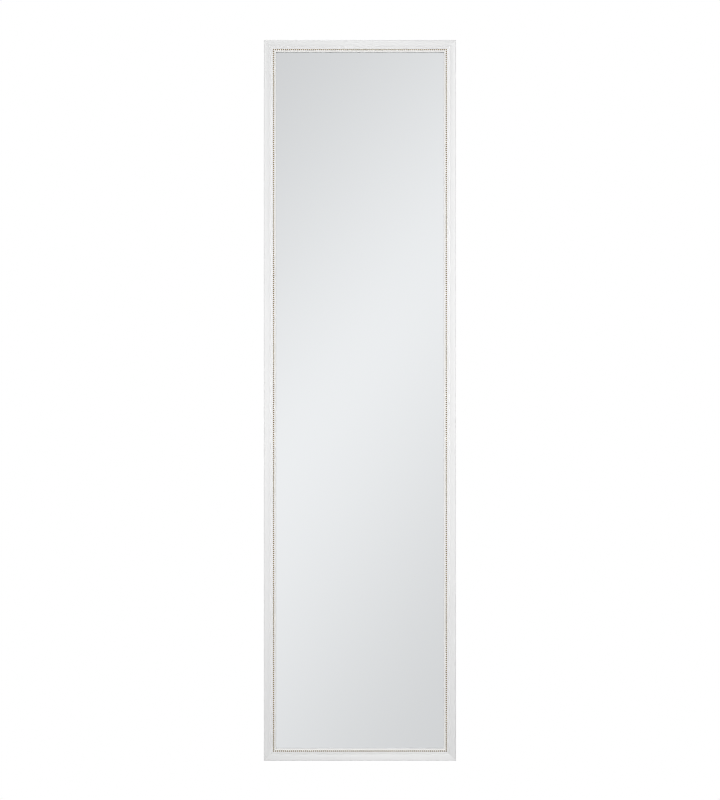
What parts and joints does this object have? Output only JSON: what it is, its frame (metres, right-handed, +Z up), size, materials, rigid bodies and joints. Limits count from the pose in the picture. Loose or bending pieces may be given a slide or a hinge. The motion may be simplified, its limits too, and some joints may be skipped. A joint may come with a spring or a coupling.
{
  "type": "over the door mirror",
  "caption": "Tall white framed dress mirror with a champagne beaded fillet round the glass, hung over a door's top edge on sliding steel hooks.",
  "frame": {"origin": "centre of the top rail's back face, on the frame's back plane", "axes": "+Z up, the mirror looks towards -Y and its back faces +Y, +X to the right seen from the front"},
  "size_m": [0.3324, 0.0691, 1.2468],
  "materials": {
    "rail_white": "satin white moulded polystyrene",
    "bead_champagne": "white strip with champagne metallic beads",
    "silvered_glass": "clear float glass, silvered on the back",
    "hardboard": "smooth brown hardboard",
    "zinc_steel": "bright zinc plate",
    "hook_steel": "zinc plated strip, softly brushed",
    "bumper_rubber": "matt black rubber"
  },
  "bodies": {
    "frame": {"top_rail": "rail_white", "bottom_rail": "rail_white", "left_rail": "rail_white", "right_rail": "rail_white", "top_bead_fillet": "bead_champagne", "bottom_bead_fillet": "bead_champagne", "left_bead_fillet": "bead_champagne", "right_bead_fillet": "bead_champagne", "mirror_glass": "silvered_glass", "backing_board": "hardboard", "top_glazing_points": "zinc_steel", "bottom_glazing_points": "zinc_steel", "left_glazing_points": "zinc_steel", "right_glazing_points": "zinc_steel", "top_left_corner_nails": "zinc_steel", "top_right_corner_nails": "zinc_steel", "bottom_left_corner_nails": "zinc_steel", "bottom_right_corner_nails": "zinc_steel", "left_hook_washers": "zinc_steel", "right_hook_washers": "zinc_steel", "left_hook_screws": "zinc_steel", "right_hook_screws": "zinc_steel", "left_bumper": "bumper_rubber", "right_bumper": "bumper_rubber"},
    "left_hook_body": {"left_hook": "hook_steel"},
    "right_hook_body": {"right_hook": "hook_steel"}
  },
  "joints": [
    {"name": "left_hook_slide", "type": "slide", "parent": "frame", "child": "left_hook_body", "axis": [0, 0, 1], "range_m": [0, 0.07]},
    {"name": "right_hook_slide", "type": "slide", "parent": "frame", "child": "right_hook_body", "axis": [0, 0, 1], "range_m": [0, 0.07]}
  ]
}
